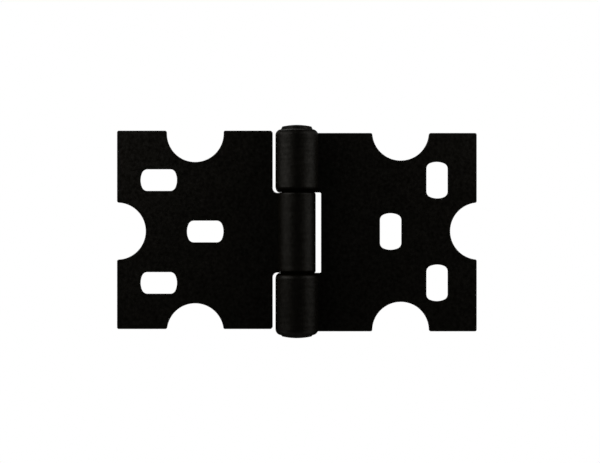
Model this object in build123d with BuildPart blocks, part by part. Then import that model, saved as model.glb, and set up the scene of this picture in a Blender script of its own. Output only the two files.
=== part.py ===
from build123d import *
from math import asin, degrees, hypot, tan
import os

# A black gate hinge, open flat: two scalloped leaves whose knuckles are rolled round one captive pin.
# +Z runs up the pin, -Y is the front that faces the viewer, and the origin is on the pin's axis,
# level with the middle slots. All sizes are in millimetres.

# Pin
pin_diameter = 12.7
running_clearance = 0.05        # radial, between the pin and the knuckles
head_foot_diameter = 16.2       # the pin's ends are formed over the knuckles and taper a little
head_rim_diameter = 14.9
head_crown = 0.85               # height of a head's crown above its rim
pin_reach = 54.25               # origin to the crown of either head

# Sheet that each leaf is made of
post_thickness = 4.5
gate_thickness = 3.2
edge_bevel = 0.4                # takes the sharpness off every cut edge

# Leaf blanks
leaf_height = 101.6
leaf_reach = 92.1               # pin axis to a leaf's outer edge
cut_back = 12.4                 # pin axis to the edge that clears the other leaf's knuckles
post_blank_mid = -0.35          # the two blanks differ a little in height
gate_blank_mid = 0.85
blank_corner = 0.9
gate_inner_corner = 1.4
gate_relief_corner = 2.5        # inside corners beside the middle knuckle
post_notch_corner = 0.6         # inside corners of the notch that clears it

# Knuckles
middle_length = 40.8
middle_mid = -0.6
knuckle_gap = 0.2
knuckle_stand_out = 1.55        # outer knuckles end this far past their leaf's edges
shoulder_round = 3.0            # the barrel's two ends, under the pin's heads
seam = 0.4                      # between a knuckle's rolled end and its own leaf

# Knuckle ends that meet are eased by two bevels, given by where they turn: how far from the end and how deep
outer_knuckle_ease = ((2.5, 0), (1.1, 0.35), (0, 1.3))
middle_knuckle_ease = ((0.9, 0), (0.3, 0.2), (0, 0.5))
square_end = ((0, 0),)

# Cut-outs, placed from the pin axis
scallop_radius = 14.6
scallop_x = 52.1
side_scallop_x = 92.0
side_scallop_mid = 0.2
scallop_half_span = 50.8
post_scallop_mid = 0.15
gate_scallop_mid = -0.6
slot_width = 11.1
slot_length = 18.8
slot_corner = 3.0
outer_slot_x = 70.8
inner_slot_x = 47.0
slot_half_span = 26.35
post_pattern_shift = 1.1        # the post leaf's cut-outs lie this much farther out

# Worked out from the sizes above
bore_radius = pin_diameter / 2 + running_clearance
post_knuckle_radius = bore_radius + post_thickness
gate_knuckle_radius = bore_radius + gate_thickness
middle_low = middle_mid - middle_length / 2
middle_high = middle_mid + middle_length / 2
post_low = post_blank_mid - leaf_height / 2
post_high = post_blank_mid + leaf_height / 2
notch_low = middle_low - knuckle_gap
notch_high = middle_high + knuckle_gap
barrel_low = post_low - knuckle_stand_out
barrel_high = post_high + knuckle_stand_out

# How near an edge must lie to a place to be picked there
nearness = 0.01


def leaf_outline(side, blank_mid, shift, scallop_mid):
    """A leaf's blank with half-round bites in its three free edges, drawn in x and z."""
    outward = Align.MIN if side > 0 else Align.MAX
    with BuildSketch() as outline:
        with Locations((side * cut_back, blank_mid)):
            Rectangle(leaf_reach - cut_back, leaf_height, align=(outward, Align.CENTER))
        for way, out in ((-1, Align.MAX), (1, Align.MIN)):
            with Locations((side * (scallop_x + shift), scallop_mid + way * scallop_half_span)):
                Circle(scallop_radius, mode=Mode.SUBTRACT)
                Rectangle(2 * scallop_radius, scallop_radius, align=(Align.CENTER, out), mode=Mode.SUBTRACT)
        with Locations((side * (side_scallop_x + shift), side_scallop_mid)):
            Circle(scallop_radius, mode=Mode.SUBTRACT)
    return outline.sketch


def slots(side, shift, turn):
    """Two slots near the outer edge and one nearer the pin. A slot is a round hole with two flats."""
    outer = side * (outer_slot_x + shift)
    inner = side * (inner_slot_x + shift)
    with BuildSketch() as one_slot:
        Circle(slot_length / 2)
        Rectangle(slot_width, slot_length, mode=Mode.INTERSECT)
    with BuildSketch() as group:
        with Locations((outer, slot_half_span), (outer, -slot_half_span), (inner, 0)):
            add(one_slot.sketch, rotation=turn)
    return group.sketch


def corners(sheet, wanted):
    """The edges through a sheet's thickness, picked by distance off the pin axis and by height."""
    return sheet.edges().filter_by(Axis.Y).filter_by(lambda e: wanted(abs(e.center().X), e.center().Z))


def on_free_edge(blank_mid):
    """Picks the corners along the blank's top, bottom and outer edges, clear of the knuckles."""

    def wanted(x, z):
        on_end = abs(abs(z - blank_mid) - leaf_height / 2) < nearness
        on_outer_edge = abs(x - leaf_reach) < nearness
        return x > cut_back + nearness and (on_end or on_outer_edge)

    return wanted


def on_slot(shift):
    """Picks the corners of the three slots."""
    centres = (
        (outer_slot_x + shift, slot_half_span),
        (outer_slot_x + shift, -slot_half_span),
        (inner_slot_x + shift, 0),
    )

    def wanted(x, z):
        reaches = [hypot(x - slot_x, z - slot_z) for slot_x, slot_z in centres]
        return any(abs(reach - slot_length / 2) < nearness for reach in reaches)

    return wanted


def rim_edges(sheet, nearest):
    """The edges round a sheet's two faces, from a given distance off the pin axis outwards."""
    return sheet.edges().filter_by(Axis.Y, reverse=True).filter_by(lambda e: abs(e.center().X) > nearest)


def knuckle(side, radius, low, high, low_ease, high_ease):
    """A knuckle rolled from the sheet: a ring with eased ends, open at its seam beside the leaf's front."""
    bottom = [(radius - depth, low + height) for height, depth in reversed(low_ease)]
    top = [(radius - depth, high - height) for height, depth in high_ease]
    with BuildPart() as ring:
        with BuildSketch(Plane.XZ) as section:
            with BuildLine():
                Polyline((bore_radius, high), (bore_radius, low), *bottom, *top, close=True)
            make_face()
            shoulders = section.vertices().filter_by(
                lambda v: any(hypot(v.X - radius, v.Y - level) < nearness for level in (barrel_low, barrel_high))
            )
            if shoulders:
                fillet(shoulders, shoulder_round)
        revolve(axis=Axis.Z)
        rolled_end = asin((bore_radius - seam) / radius)
        with BuildSketch(Plane.XY.offset(low)):
            with BuildLine():
                Polyline((0, 0), (side * bore_radius / tan(rolled_end), bore_radius), (0, bore_radius), close=True)
            make_face()
        extrude(amount=high - low, mode=Mode.SUBTRACT)
    return ring.part


def eased_root_edge(side, back, level, way, ease, reach):
    """What easing a knuckle's end takes off the back edge of its root, where the sheet runs into the roll."""
    turns = [(back - depth, level - way * height) for height, depth in ease]
    with BuildPart() as shaving:
        with BuildSketch(Plane.YZ):
            with BuildLine():
                Polyline((back, level), *turns, close=True)
            make_face()
        extrude(amount=side * reach)
    return shaving.part


def pin_head(way, base):
    """One end of the pin, pressed out over the knuckle: a short taper up to its rim, and a shallow crown."""
    foot_radius = head_foot_diameter / 2
    rim_radius = head_rim_diameter / 2
    crown_radius = (rim_radius**2 + head_crown**2) / (2 * head_crown)
    spread = degrees(asin(rim_radius / crown_radius))
    with BuildPart() as head:
        with BuildSketch(Plane.XZ):
            with BuildLine():
                crown = CenterArc((0, way * (pin_reach - crown_radius)), crown_radius, way * 90, -way * spread)
                Polyline(crown @ 0, (0, base), (foot_radius, base), crown @ 1)
            make_face()
        revolve(axis=Axis.Z)
    return head.part


# Post leaf: the right one, which carries the upper and lower knuckles
with BuildPart() as post_leaf:
    with BuildSketch(Plane.XZ.offset(-post_knuckle_radius)):
        add(leaf_outline(1, post_blank_mid, post_pattern_shift, post_scallop_mid))
        for low, high in ((post_low, notch_low), (notch_high, post_high)):
            with Locations((0, low)):
                Rectangle(cut_back + blank_corner, high - low, align=(Align.MIN, Align.MIN))
        add(slots(1, post_pattern_shift, 0), mode=Mode.SUBTRACT)
    extrude(amount=post_thickness)
    fillet(corners(post_leaf, on_free_edge(post_blank_mid)), radius=blank_corner)
    fillet(corners(post_leaf, on_slot(post_pattern_shift)), radius=slot_corner)
    fillet(corners(post_leaf, lambda x, z: abs(x - cut_back) < nearness), radius=post_notch_corner)
    chamfer(rim_edges(post_leaf, cut_back + blank_corner), length=edge_bevel)
    add(knuckle(1, post_knuckle_radius, notch_high, barrel_high, outer_knuckle_ease, square_end))
    add(knuckle(1, post_knuckle_radius, barrel_low, notch_low, square_end, outer_knuckle_ease))
    root_reach = cut_back - post_notch_corner
    for level, way in ((notch_low, 1), (notch_high, -1)):
        shaving = eased_root_edge(1, post_knuckle_radius, level, way, outer_knuckle_ease, root_reach)
        add(shaving, mode=Mode.SUBTRACT)

# Gate leaf: the left one, which carries the middle knuckle and swings
with BuildPart() as gate_leaf:
    with BuildSketch(Plane.XZ.offset(-gate_knuckle_radius)):
        add(leaf_outline(-1, gate_blank_mid, 0, gate_scallop_mid))
        with Locations((0, middle_mid)):
            Rectangle(cut_back + blank_corner, middle_length, align=(Align.MAX, Align.CENTER))
        add(slots(-1, 0, 90), mode=Mode.SUBTRACT)
    extrude(amount=gate_thickness)
    fillet(corners(gate_leaf, on_free_edge(gate_blank_mid)), radius=blank_corner)
    fillet(corners(gate_leaf, on_slot(0)), radius=slot_corner)
    cut_back_corners = corners(gate_leaf, lambda x, z: abs(x - cut_back) < nearness).sort_by(Axis.Z)
    fillet((cut_back_corners[0], cut_back_corners[-1]), radius=gate_inner_corner)
    fillet(cut_back_corners[1:-1], radius=gate_relief_corner)
    chamfer(rim_edges(gate_leaf, cut_back + gate_relief_corner), length=edge_bevel)
    add(knuckle(-1, gate_knuckle_radius, middle_low, middle_high, middle_knuckle_ease, middle_knuckle_ease))
    root_reach = cut_back - gate_relief_corner
    for level, way in ((middle_low, -1), (middle_high, 1)):
        shaving = eased_root_edge(-1, gate_knuckle_radius, level, way, middle_knuckle_ease, root_reach)
        add(shaving, mode=Mode.SUBTRACT)

# Pin: a plain shank through all three knuckles, with a head at each end
with BuildPart() as hinge_pin:
    with BuildSketch(Plane.XY.offset(barrel_low)):
        Circle(pin_diameter / 2)
    extrude(amount=barrel_high - barrel_low)
    for way, base in ((1, barrel_high), (-1, barrel_low)):
        add(pin_head(way, base))

post_leaf.part.label = "post_leaf"
gate_leaf.part.label = "gate_leaf"
hinge_pin.part.label = "hinge_pin"

os.makedirs("parts", exist_ok=True)
export_step(post_leaf.part, "parts/post_leaf.step")
export_step(gate_leaf.part, "parts/gate_leaf.step")
export_step(hinge_pin.part, "parts/hinge_pin.step")
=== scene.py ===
from math import cos, radians, sin

import bpy
from bpy.props import FloatProperty, FloatVectorProperty, PointerProperty
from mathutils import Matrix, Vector

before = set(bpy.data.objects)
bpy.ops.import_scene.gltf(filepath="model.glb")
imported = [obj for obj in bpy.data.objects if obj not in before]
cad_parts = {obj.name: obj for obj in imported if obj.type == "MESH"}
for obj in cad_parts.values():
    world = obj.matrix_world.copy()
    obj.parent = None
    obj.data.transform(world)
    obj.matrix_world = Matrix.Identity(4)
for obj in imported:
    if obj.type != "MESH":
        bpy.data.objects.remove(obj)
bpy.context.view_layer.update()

bl_info = {
    "name": "Gate hinge finish and studio",
    "version": (1, 0, 0),
    "blender": (4, 5, 0),
    "location": "3D View > Sidebar > Gate hinge",
    "description": "Gives a black gate hinge its powder coat and sets up a pale studio round it",
    "category": "Object",
}

# The hinge's own places, in metres from the pin's middle
leaf_front = 0.0064             # how far back the fronts of both leaves lie
outer_knuckle_mid = 0.0364      # about half way up the upper knuckle, and as far down for the lower one
middle_knuckle_mid = 0.0        # about half way up the middle knuckle
upper_gap = 0.0199              # heights of the two gaps between the knuckles
lower_gap = -0.0211

# The coat
cloud_share = 0.45              # how much of the colour's change follows the clouds and not the grain
roll_fade_start = 0.002         # a rolled knuckle's look fades out from here back to the leaves' front
mark_stretch = (0.12, 0.12, 1)  # shrinks positions across the pin, which draws the marks out round it
mottle_lost = 0.5               # how much of the mottle a rolled knuckle doesn't show
painted_shade_core = 0.4                 # painted shade: how much of a band's width, next to the gap, has no gloss at all

# The studio
white = (1.0, 1.0, 1.0, 1.0)
floor_fade_start = 0.15         # shares of the floor's radius between which it fades into the room
floor_fade_end = 0.45
nearest_seen = 0.05             # the camera shows nothing nearer than this, in metres

# The Mix node's colour sockets, by number because they share their names with others
mix_colour_a = 6
mix_colour_b = 7
mix_result = 2


class Wire:
    """An output socket that takes part in sums, so that shader maths reads like plain maths."""

    def __init__(self, tree, socket=None):
        self.tree = tree
        self.socket = socket

    def feed(self, node, inputs):
        """Gives a node's inputs their values or wires."""
        for name, value in inputs.items():
            if isinstance(value, Wire):
                self.tree.links.new(value.socket, node.inputs[name])
            else:
                node.inputs[name].default_value = value

    def node(self, kind, settings, inputs, output=0):
        """Adds a node, sets it up, feeds its inputs and returns one of its outputs."""
        node = self.tree.nodes.new(kind)
        for name, value in settings.items():
            setattr(node, name, value)
        self.feed(node, inputs)
        return Wire(self.tree, node.outputs[output])

    def maths(self, operation, first, second=0.0):
        """One sum, worked out by a Math node."""
        return self.node("ShaderNodeMath", {"operation": operation}, {0: first, 1: second})

    def __abs__(self):
        return self.maths("ABSOLUTE", self)

    def __add__(self, other):
        return self.maths("ADD", self, other)

    def __sub__(self, other):
        return self.maths("SUBTRACT", self, other)

    def __rsub__(self, other):
        return self.maths("SUBTRACT", other, self)

    def __mul__(self, other):
        return self.maths("MULTIPLY", self, other)

    __radd__ = __add__
    __rmul__ = __mul__

    def axis(self, name):
        """One of the three numbers of a position."""
        return self.node("ShaderNodeSeparateXYZ", {}, {0: self}, output=name)

    def clear_step(self, low, high):
        """0 below low, 1 above high and a soft rise between them."""
        return self.node(
            "ShaderNodeMapRange",
            {"interpolation_type": "SMOOTHSTEP"},
            {"Value": self, "From Min": low, "From Max": high},
        )

    def noise(self, size, detail, roughness=0.5):
        """Soft blotches of about a given size in metres, from 0 to 1, over a position."""
        return self.node(
            "ShaderNodeTexNoise",
            {},
            {"Vector": self, "Scale": 1 / size, "Detail": detail, "Roughness": roughness},
        )

    def shaded(self, colour, amount):
        """A colour made darker or lighter over the surface by this wire, in proportion."""
        factor = 1 + (self - 0.5) * amount
        grey = self.node("ShaderNodeCombineColor", {}, {"Red": factor, "Green": factor, "Blue": factor})
        return self.node(
            "ShaderNodeMix",
            {"data_type": "RGBA", "blend_type": "MULTIPLY"},
            {"Factor": 1.0, mix_colour_a: (*colour, 1.0), mix_colour_b: grey},
            output=mix_result,
        )

    def between(self, first, second):
        """A mix of two shaders: the first where this wire is 0 and the second where it is 1."""
        return self.node("ShaderNodeMixShader", {}, {0: self, 1: first, 2: second})


def new_material(name):
    """A new material whose only node is its output, and a wire to start sums from."""
    material = bpy.data.materials.new(name)
    material.use_nodes = True
    tree = material.node_tree
    tree.nodes.remove(tree.nodes["Principled BSDF"])
    return material, Wire(tree)


def powder_coat(name, coat, peel_size, knuckle_mid=None, painted_shade_bands=()):
    """Satin black powder coat: a warm near-black that keeps a small share of its orange-peel skin's gloss.

    A leaf's coat also shows how its knuckles were rolled: they flare a little towards both their ends, and
    fine marks run round them. Where a knuckle's end turns into the gap beside it, the gloss fades out: this
    is painted shade, which darkens the knuckles next to the gaps between them. Each painted shade band is
    given by the gap's height, the way to the knuckle from there, where 1 is up and -1 is down, and the
    band's width.
    """
    material, start = new_material(name)
    place = start.node("ShaderNodeTexCoord", {}, {}, output="Object")
    cloud = place.noise(coat.cloud_size, detail=3.0)
    grain = place.noise(coat.grain_size, detail=2.0, roughness=0.6)
    peel = place.noise(peel_size, detail=1.5)
    mottle = (place.noise(coat.mottle_size, detail=1.5) - 0.5) * coat.mottle
    colour = (cloud * cloud_share + grain * (1 - cloud_share)).shaded(coat.colour, coat.colour_change)
    roughness = coat.roughness + (cloud - 0.5) * coat.roughness_change + (grain - 0.5) * coat.roughness_change
    height = peel * coat.peel_height + grain * coat.grain_height
    if knuckle_mid is None:
        gloss = coat.gloss * (1 + mottle)
    else:
        rolled = 1 - place.axis("Y").clear_step(roll_fade_start, leaf_front)
        upward = place.axis("Z")
        along = abs(upward) - knuckle_mid
        height = height + along * along * rolled * coat.flare
        round_it = start.node("ShaderNodeVectorMath", {"operation": "MULTIPLY"}, {0: place, 1: mark_stretch})
        marks = (round_it.noise(coat.mark_size, detail=1.0) - 0.5) * coat.marks
        gloss = coat.gloss * (1 + mottle * (1 - mottle_lost * rolled) + marks * rolled)
        # Painted shade: the knuckles lose their gloss next to the gaps between them, so they darken there as
        # in shade.
        outside_painted_shade = sum(
            ((upward - gap) * way).clear_step(painted_shade_core * width, width) for gap, way, width in painted_shade_bands
        )
        gloss = gloss * (1 - rolled * (1 - outside_painted_shade))
    bump = start.node("ShaderNodeBump", {}, {"Height": height, "Distance": 1.0, "Strength": 1.0})
    body = start.node(
        "ShaderNodeBsdfPrincipled", {}, {"Base Color": colour, "Normal": bump, "Specular IOR Level": 0.0}
    )
    skin = start.node(
        "ShaderNodeBsdfPrincipled",
        {},
        {
            "Base Color": colour,
            "Roughness": roughness,
            "Normal": bump,
            "Specular IOR Level": 1.0,
            "Specular Tint": (*coat.gloss_tint, 1.0),
        },
    )
    start.feed(material.node_tree.nodes["Material Output"], {"Surface": gloss.between(body, skin)})
    return material


def dress(node, material):
    """Gives a CAD node one material all over, through its material slots."""
    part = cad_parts[node]
    if not part.material_slots:
        part.data.materials.append(material)
    for material_slot in part.material_slots:
        material_slot.material = material


class HingeCoatSettings(bpy.types.PropertyGroup):
    """The powder coat's colour, gloss, grain and the marks that rolling left in it"""

    colour: FloatVectorProperty(
        name="Colour",
        description="Colour of the coat where no light glances off it",
        subtype="COLOR",
        min=0.0,
        max=1.0,
        default=(0.0004, 0.00028, 0.00006),
    )
    gloss_tint: FloatVectorProperty(
        name="Gloss tint",
        description="Warm tint of the light that glances off the coat",
        subtype="COLOR",
        min=0.0,
        max=1.0,
        default=(1.0, 0.965, 0.88),
    )
    colour_change: FloatProperty(
        name="Colour change",
        description="How much the colour varies over the coat, as a share of it",
        subtype="FACTOR",
        min=0.0,
        max=2.0,
        default=0.9,
    )
    roughness: FloatProperty(
        name="Roughness",
        description="Mean roughness of the satin skin",
        subtype="FACTOR",
        min=0.0,
        max=1.0,
        default=0.46,
    )
    roughness_change: FloatProperty(
        name="Roughness change",
        description="How much the roughness varies over the coat",
        subtype="FACTOR",
        min=0.0,
        max=1.0,
        default=0.12,
    )
    gloss: FloatProperty(
        name="Gloss",
        description="Share of the satin skin that is mixed into the matt coat",
        subtype="FACTOR",
        min=0.0,
        max=1.0,
        default=0.0455,
    )
    mottle: FloatProperty(
        name="Mottle",
        description="How much the gloss varies in small patches, as a share of it",
        subtype="FACTOR",
        min=0.0,
        max=4.0,
        default=2.4,
    )
    mottle_size: FloatProperty(
        name="Mottle size",
        description="Size of the gloss patches",
        unit="LENGTH",
        precision=5,
        default=0.0017,
    )
    marks: FloatProperty(
        name="Rolling marks",
        description="How much the marks round a knuckle change its gloss, as a share of it",
        subtype="FACTOR",
        min=0.0,
        max=3.0,
        default=0.7,
    )
    mark_size: FloatProperty(
        name="Mark size",
        description="Spacing of the marks round a knuckle",
        unit="LENGTH",
        precision=5,
        default=0.0014,
    )
    # Painted shade: widths of the bands next to the gaps where the knuckles lose their gloss.
    upper_painted_shade: FloatProperty(
        name="Upper crevice",
        description="Width of the matt band on the upper knuckle, above the upper gap",
        unit="LENGTH",
        precision=5,
        default=0.0032,
    )
    lower_painted_shade: FloatProperty(
        name="Lower crevice",
        description="Width of the matt band on each of the two knuckles at the lower gap",
        unit="LENGTH",
        precision=5,
        default=0.0018,
    )
    cloud_size: FloatProperty(
        name="Cloud size",
        description="Size of the faint patches in the coat",
        unit="LENGTH",
        default=0.009,
    )
    grain_size: FloatProperty(
        name="Grain size",
        description="Size of the coat's fine grain",
        unit="LENGTH",
        precision=5,
        default=0.0011,
    )
    grain_height: FloatProperty(
        name="Grain height",
        description="How far the grain stands up",
        unit="LENGTH",
        precision=6,
        default=0.00003,
    )
    flare: FloatProperty(
        name="Roll flare",
        description="How strongly a rolled knuckle widens with the square of the distance from its middle",
        min=0.0,
        default=0.65,
    )
    leaf_peel_size: FloatProperty(
        name="Leaf peel size",
        description="Size of the orange-peel ripples on the leaves",
        unit="LENGTH",
        precision=5,
        default=0.0024,
    )
    pin_peel_size: FloatProperty(
        name="Pin peel size",
        description="Size of the orange-peel ripples on the pin's heads",
        unit="LENGTH",
        precision=5,
        default=0.0018,
    )
    peel_height: FloatProperty(
        name="Peel height",
        description="How far the orange-peel ripples stand up",
        unit="LENGTH",
        precision=6,
        default=0.00007,
    )


class HingeStageSettings(bpy.types.PropertyGroup):
    """The camera's place, the floor, the softboxes and the light of the room"""

    camera_distance: FloatProperty(
        name="Camera distance",
        description="From the camera to the front of the leaves",
        unit="LENGTH",
        default=1.1,
    )
    view_width: FloatProperty(
        name="View width",
        description="Width that the picture spans at the front of the leaves",
        unit="LENGTH",
        default=0.3072,
    )
    camera_right: FloatProperty(
        name="Camera to the right",
        description="How far right of the pin the camera stands",
        unit="LENGTH",
        default=0.0016,
    )
    floor_drop: FloatProperty(
        name="Floor drop",
        description="How far below the hinge's middle the floor lies",
        unit="LENGTH",
        default=0.45,
    )
    floor_radius: FloatProperty(
        name="Floor radius",
        description="Radius of the round floor",
        unit="LENGTH",
        default=3.0,
    )
    floor_colour: FloatVectorProperty(
        name="Floor colour",
        description="Pale colour of the floor, on which the hinge's shadow falls",
        subtype="COLOR",
        min=0.0,
        max=1.0,
        default=(0.86, 0.86, 0.86),
    )
    floor_white: FloatProperty(
        name="Floor white",
        description="Share of plain white in the floor under the hinge, before it fades into the room",
        subtype="FACTOR",
        min=0.0,
        max=1.0,
        default=0.35,
    )
    left_power: FloatProperty(
        name="Left softbox",
        description="Power of the softbox on the left",
        unit="POWER",
        default=2.0,
    )
    right_power: FloatProperty(
        name="Right softbox",
        description="Power of the softbox on the right",
        unit="POWER",
        default=0.98,
    )
    fill_power: FloatProperty(
        name="Fill softbox",
        description="Power of the small softbox at the front, on the right",
        unit="POWER",
        default=0.09,
    )
    top_power: FloatProperty(
        name="Top softbox",
        description="Power of the softbox above and behind the hinge",
        unit="POWER",
        default=2.4,
    )
    back_power: FloatProperty(
        name="Back softboxes",
        description="Power of each of the two softboxes behind the hinge",
        unit="POWER",
        default=0.8,
    )
    low_power: FloatProperty(
        name="Low softboxes",
        description="Power of each of the two softboxes low down beside the hinge",
        unit="POWER",
        default=0.3,
    )
    room_light: FloatProperty(
        name="Room light",
        description="Strength of the plain light that the room gives from all sides",
        min=0.0,
        default=0.02,
    )
    mirrored_white: FloatProperty(
        name="Mirrored white",
        description="Share of the white background that shows in the coat's gloss",
        subtype="FACTOR",
        min=0.0,
        max=1.0,
        default=0.1,
    )


class HINGE_OT_coat_post_leaf(bpy.types.Operator):
    """Give the post leaf its powder coat"""

    bl_idname = "hinge.coat_post_leaf"
    bl_label = "Coat the post leaf"

    def execute(self, context):
        coat = context.scene.hinge_coat
        # Painted shade next to both gaps, on the post leaf's knuckles.
        painted_shade_bands = ((upper_gap, 1, coat.upper_painted_shade), (lower_gap, -1, coat.lower_painted_shade))
        material = powder_coat("post_leaf_coat", coat, coat.leaf_peel_size, outer_knuckle_mid, painted_shade_bands)
        dress("post_leaf", material)
        return {"FINISHED"}


class HINGE_OT_coat_gate_leaf(bpy.types.Operator):
    """Give the gate leaf its powder coat"""

    bl_idname = "hinge.coat_gate_leaf"
    bl_label = "Coat the gate leaf"

    def execute(self, context):
        coat = context.scene.hinge_coat
        # Painted shade next to the lower gap, on the gate leaf's middle knuckle.
        painted_shade_bands = ((lower_gap, 1, coat.lower_painted_shade),)
        material = powder_coat("gate_leaf_coat", coat, coat.leaf_peel_size, middle_knuckle_mid, painted_shade_bands)
        dress("gate_leaf", material)
        return {"FINISHED"}


class HINGE_OT_coat_pin(bpy.types.Operator):
    """Give the pin its powder coat"""

    bl_idname = "hinge.coat_pin"
    bl_label = "Coat the pin"

    def execute(self, context):
        coat = context.scene.hinge_coat
        dress("hinge_pin", powder_coat("pin_coat", coat, coat.pin_peel_size))
        return {"FINISHED"}


def softbox(name, power, size, turn, rise, distance):
    """A soft rectangular lamp that faces the hinge's middle. Its size is its width and height.

    Turn is to the right of the front and rise is above the hinge's middle, both in degrees.
    """
    across = distance * cos(radians(rise))
    place = Vector((across * sin(radians(turn)), -across * cos(radians(turn)), distance * sin(radians(rise))))
    facing = (-place).to_track_quat("-Z", "Y").to_euler()
    bpy.ops.object.light_add(type="AREA", location=place, rotation=facing)
    lamp = bpy.context.object
    lamp.name = name + "_softbox"
    lamp.data.shape = "RECTANGLE"
    lamp.data.size, lamp.data.size_y = size
    lamp.data.energy = power
    lamp.visible_camera = False


def shown_white(start, stage):
    """How much of the background's white a ray sees.

    A ray from the camera or through glass sees all of it, and a ray off gloss sees a share of it.
    """
    straight = start.node("ShaderNodeLightPath", {}, {}, output="Is Camera Ray")
    through = start.node("ShaderNodeLightPath", {}, {}, output="Is Transmission Ray")
    mirrored = start.node("ShaderNodeLightPath", {}, {}, output="Is Glossy Ray")
    return straight + through + mirrored * stage.mirrored_white


def pale_world(stage):
    """A room that is white to look at and gives a low, even light."""
    world = bpy.data.worlds.new("studio_room")
    bpy.context.scene.world = world
    world.use_nodes = True
    start = Wire(world.node_tree)
    strength = stage.room_light + shown_white(start, stage) * (1 - stage.room_light)
    start.feed(world.node_tree.nodes["Background"], {"Color": white, "Strength": strength})


def pale_floor(stage):
    """A round floor that takes the hinge's shadow near the middle and fades into the white of the room."""
    bpy.ops.object.select_all(action="DESELECT")
    bpy.ops.mesh.primitive_circle_add(
        vertices=128, radius=stage.floor_radius, fill_type="NGON", location=(0, 0, -stage.floor_drop)
    )
    floor = bpy.context.object
    floor.name = "floor"
    bpy.ops.object.transform_apply(location=True, rotation=True, scale=True)
    material, start = new_material("pale_floor")
    place = start.node("ShaderNodeTexCoord", {}, {}, output="Object")
    away = start.node("ShaderNodeVectorMath", {"operation": "LENGTH"}, {0: place}, output="Value")
    fade = away.clear_step(floor_fade_start * stage.floor_radius, floor_fade_end * stage.floor_radius)
    plain_white = stage.floor_white + fade * (1 - stage.floor_white)
    matt = start.node("ShaderNodeBsdfDiffuse", {}, {"Color": (*stage.floor_colour, 1.0)})
    glow = start.node("ShaderNodeEmission", {}, {"Color": white, "Strength": 1.0})
    look = (plain_white * shown_white(start, stage)).between(matt, glow)
    start.feed(material.node_tree.nodes["Material Output"], {"Surface": look})
    floor.data.materials.append(material)


def front_camera(stage):
    """A level camera in front of the hinge, whose picture spans the view's width at the leaves' front."""
    place = (stage.camera_right, leaf_front - stage.camera_distance, 0)
    bpy.ops.object.camera_add(location=place, rotation=(radians(90), 0, 0))
    camera = bpy.context.object
    camera.name = "camera"
    camera.data.sensor_fit = "HORIZONTAL"
    camera.data.lens = camera.data.sensor_width * stage.camera_distance / stage.view_width
    camera.data.clip_start = nearest_seen
    bpy.context.scene.camera = camera


class HINGE_OT_set_stage(bpy.types.Operator):
    """Set up the floor, the room, the softboxes and the camera"""

    bl_idname = "hinge.set_stage"
    bl_label = "Set the stage"

    def execute(self, context):
        stage = context.scene.hinge_stage
        context.scene.view_settings.view_transform = "Standard"
        pale_world(stage)
        pale_floor(stage)
        softbox("left", stage.left_power, size=(0.332, 0.243), turn=-66.6, rise=27.1, distance=0.306)
        softbox("right", stage.right_power, size=(0.238, 0.319), turn=78.2, rise=22.6, distance=0.24)
        softbox("fill", stage.fill_power, size=(0.18, 0.18), turn=50, rise=35, distance=0.21)
        softbox("top", stage.top_power, size=(0.25, 0.2), turn=-166, rise=52, distance=0.5)
        for side, way in (("left", -1), ("right", 1)):
            softbox(
                "back_" + side, stage.back_power, size=(0.25, 0.25), turn=way * 150, rise=12, distance=0.4
            )
            softbox("low_" + side, stage.low_power, size=(0.2, 0.2), turn=way * 75, rise=-38, distance=0.3)
        front_camera(stage)
        return {"FINISHED"}


class HINGE_PT_panel(bpy.types.Panel):
    """Lists the settings and the operators in the 3D view's sidebar"""

    bl_label = "Gate hinge"
    bl_idname = "HINGE_PT_panel"
    bl_space_type = "VIEW_3D"
    bl_region_type = "UI"
    bl_category = "Gate hinge"

    def draw(self, context):
        layout = self.layout
        for settings in (context.scene.hinge_coat, context.scene.hinge_stage):
            box = layout.box()
            for name in settings.__annotations__:
                box.prop(settings, name)
        for operator in operators:
            layout.operator(operator.bl_idname)


operators = (HINGE_OT_coat_post_leaf, HINGE_OT_coat_gate_leaf, HINGE_OT_coat_pin, HINGE_OT_set_stage)
classes = (HingeCoatSettings, HingeStageSettings, *operators, HINGE_PT_panel)


def register():
    for each in classes:
        bpy.utils.register_class(each)
    bpy.types.Scene.hinge_coat = PointerProperty(type=HingeCoatSettings)
    bpy.types.Scene.hinge_stage = PointerProperty(type=HingeStageSettings)


def unregister():
    del bpy.types.Scene.hinge_stage
    del bpy.types.Scene.hinge_coat
    for each in reversed(classes):
        bpy.utils.unregister_class(each)


def main():
    register()
    bpy.ops.hinge.coat_post_leaf()
    bpy.ops.hinge.coat_gate_leaf()
    bpy.ops.hinge.coat_pin()
    bpy.ops.hinge.set_stage()


if __name__ == "__main__":
    main()
